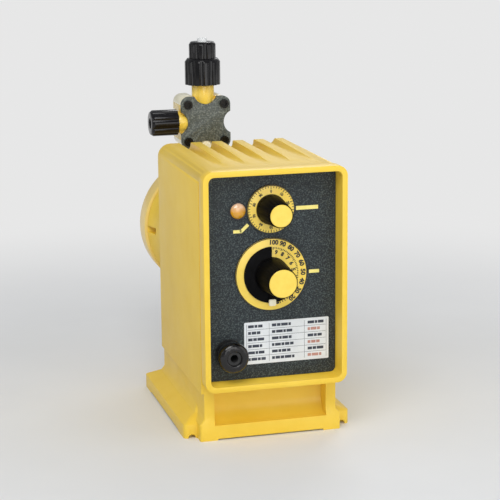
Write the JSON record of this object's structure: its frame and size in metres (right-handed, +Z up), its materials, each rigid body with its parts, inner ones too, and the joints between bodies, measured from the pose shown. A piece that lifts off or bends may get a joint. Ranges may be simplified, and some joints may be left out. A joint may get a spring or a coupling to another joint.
{
  "type": "diaphragm metering pump",
  "caption": "Solenoid-driven diaphragm metering pump: finned yellow housing, sunken control panel with stroke and speed knobs, round liquid end and lobed valve.",
  "frame": {"origin": "centre of the four screw holes in the base, on the bottom plane", "axes": "+Z up, the control panel faces -Y, +X to the right as seen from the panel; the stroke axis runs along Y"},
  "size_m": [0.1524, 0.3028, 0.3296],
  "materials": {
    "yellow_housing": "satin moulded yellow",
    "panel_black": "fine speckled texture",
    "dial_yellow": "satin",
    "black_plastic": "semi-gloss black",
    "amber_lens": "translucent amber",
    "black_rubber": "matt rubber",
    "board_green": "solder mask",
    "component_grey": "moulded",
    "bright_steel": "ground stainless",
    "plated_steel": "zinc plated",
    "copper_winding": "enamelled wire",
    "bronze": "sintered",
    "white_plastic": "smooth",
    "ceramic_white": "polished ceramic",
    "cream_plastic": "satin pale yellow",
    "plate_grey": "dark grey, fine grain",
    "valve_rubber": "matt rubber",
    "black_screw": "black oxide"
  },
  "bodies": {
    "pump": {"housing": "yellow_housing", "adapter": "yellow_housing", "pump_head": "yellow_housing", "control_panel": "panel_black", "cable_gland": "black_plastic", "pulse_bezel": "black_plastic", "discharge_adapter": "black_plastic", "coil_bobbin": "black_plastic", "pulse_lens": "amber_lens", "gland_seal": "black_rubber", "panel_gasket": "black_rubber", "spindle_seal": "black_rubber", "circuit_board": "board_green", "board_components": "component_grey", "speed_potentiometer": "component_grey", "adapter_screws": "bright_steel", "head_screws": "bright_steel", "return_spring": "bright_steel", "anti_siphon_spring": "bright_steel", "relief_spring": "bright_steel", "solenoid_cup": "plated_steel", "stroke_bracket": "plated_steel", "pole_core": "plated_steel", "coil_winding": "copper_winding", "shaft_bushes": "bronze", "diaphragm": "white_plastic", "suction_seat": "white_plastic", "discharge_seat": "white_plastic", "discharge_tube": "white_plastic", "valve_body": "cream_plastic", "suction_fitting": "cream_plastic", "discharge_fitting": "cream_plastic", "valve_plate": "plate_grey", "valve_diaphragm": "valve_rubber", "valve_screws": "black_screw"},
    "stroke_control": {"stroke_dial": "dial_yellow", "stroke_knob": "black_plastic", "stroke_knob_cap": "dial_yellow", "stroke_spindle": "bright_steel"},
    "stroke_stop": {"stroke_plunger": "bright_steel"},
    "drive": {"armature": "plated_steel", "drive_shaft": "bright_steel", "backup_disc": "bright_steel"},
    "speed_control": {"speed_dial": "dial_yellow", "speed_knob": "black_plastic", "speed_knob_cap": "dial_yellow", "speed_shaft": "bright_steel"},
    "cord_nut": {"gland_nut": "black_plastic"},
    "suction_check": {"suction_ball": "ceramic_white"},
    "discharge_check": {"discharge_ball": "ceramic_white"},
    "anti_siphon": {"anti_siphon_poppet": "white_plastic"},
    "relief": {"relief_ball": "ceramic_white"},
    "suction_ring": {"suction_ferrule": "white_plastic"},
    "suction_nut": {"suction_coupling_nut": "black_plastic"},
    "discharge_ring": {"discharge_ferrule": "white_plastic"},
    "discharge_nut": {"discharge_coupling_nut": "black_plastic"},
    "return_ring": {"return_ferrule": "white_plastic"},
    "return_nut": {"return_coupling_nut": "black_plastic"}
  },
  "joints": [
    {"name": "stroke_knob_turn", "type": "hinge", "parent": "pump", "child": "stroke_control", "pos_m": [0, -0.115, 0.1468], "axis": [0, 1, 0], "range_deg": [-150.05, 150.05]},
    {"name": "stroke_stop_slide", "type": "slide", "parent": "pump", "child": "stroke_stop", "axis": [0, 1, 0], "range_m": [-0.00063, 0.00063]},
    {"name": "armature_stroke", "type": "slide", "parent": "stroke_stop", "child": "drive", "axis": [0, 1, 0], "range_m": [0, 0.00125], "stiffness_N_per_m": 8000, "springref_m": -0.002, "deforming": ["return_spring", "diaphragm"]},
    {"name": "speed_knob_turn", "type": "hinge", "parent": "pump", "child": "speed_control", "pos_m": [0, -0.115, 0.204], "axis": [0, 1, 0], "range_deg": [-150, 150]},
    {"name": "gland_nut_turn", "type": "hinge", "parent": "pump", "child": "cord_nut", "pos_m": [-0.038, -0.11, 0.079], "axis": [0, -1, 0], "range_deg": [0, 90]},
    {"name": "suction_ball_lift", "type": "slide", "parent": "pump", "child": "suction_check", "axis": [0, 0, 1], "range_m": [0, 0.003]},
    {"name": "discharge_ball_lift", "type": "slide", "parent": "pump", "child": "discharge_check", "axis": [0, 0, 1], "range_m": [0, 0.003]},
    {"name": "anti_siphon_lift", "type": "slide", "parent": "pump", "child": "anti_siphon", "axis": [0, -1, 0], "range_m": [0, 0.0012], "stiffness_N_per_m": 1500, "springref_m": -0.001, "deforming": ["valve_diaphragm", "anti_siphon_spring"]},
    {"name": "relief_ball_lift", "type": "slide", "parent": "pump", "child": "relief", "axis": [-1, 0, 0], "range_m": [0, 0.002], "stiffness_N_per_m": 1500, "springref_m": -0.001, "deforming": ["relief_spring"]},
    {"name": "suction_ring_slide", "type": "slide", "parent": "pump", "child": "suction_ring", "axis": [0, 0, -1], "range_m": [0, 0.003]},
    {"name": "suction_nut_turn", "type": "hinge", "parent": "suction_ring", "child": "suction_nut", "pos_m": [0, 0.1423, 0.06], "axis": [0, 0, -1], "range_deg": [0, 540.1]},
    {"name": "discharge_ring_slide", "type": "slide", "parent": "pump", "child": "discharge_ring", "axis": [0, 0, 1], "range_m": [0, 0.003]},
    {"name": "discharge_nut_turn", "type": "hinge", "parent": "discharge_ring", "child": "discharge_nut", "pos_m": [0, 0.1423, 0.32], "axis": [0, 0, 1], "range_deg": [0, 540.1]},
    {"name": "return_ring_slide", "type": "slide", "parent": "pump", "child": "return_ring", "axis": [-1, 0, 0], "range_m": [0, 0.003]},
    {"name": "return_nut_turn", "type": "hinge", "parent": "return_ring", "child": "return_nut", "pos_m": [-0.04, 0.1423, 0.248], "axis": [-1, 0, 0], "range_deg": [0, 540.1]}
  ],
  "couplings": [
    {"joint": "stroke_knob_turn", "follows": "stroke_stop_slide", "rad_per_m": -4188.8},
    {"joint": "suction_nut_turn", "follows": "suction_ring_slide", "rad_per_m": 3141.6},
    {"joint": "discharge_nut_turn", "follows": "discharge_ring_slide", "rad_per_m": 3141.6},
    {"joint": "return_nut_turn", "follows": "return_ring_slide", "rad_per_m": 3141.6}
  ]
}
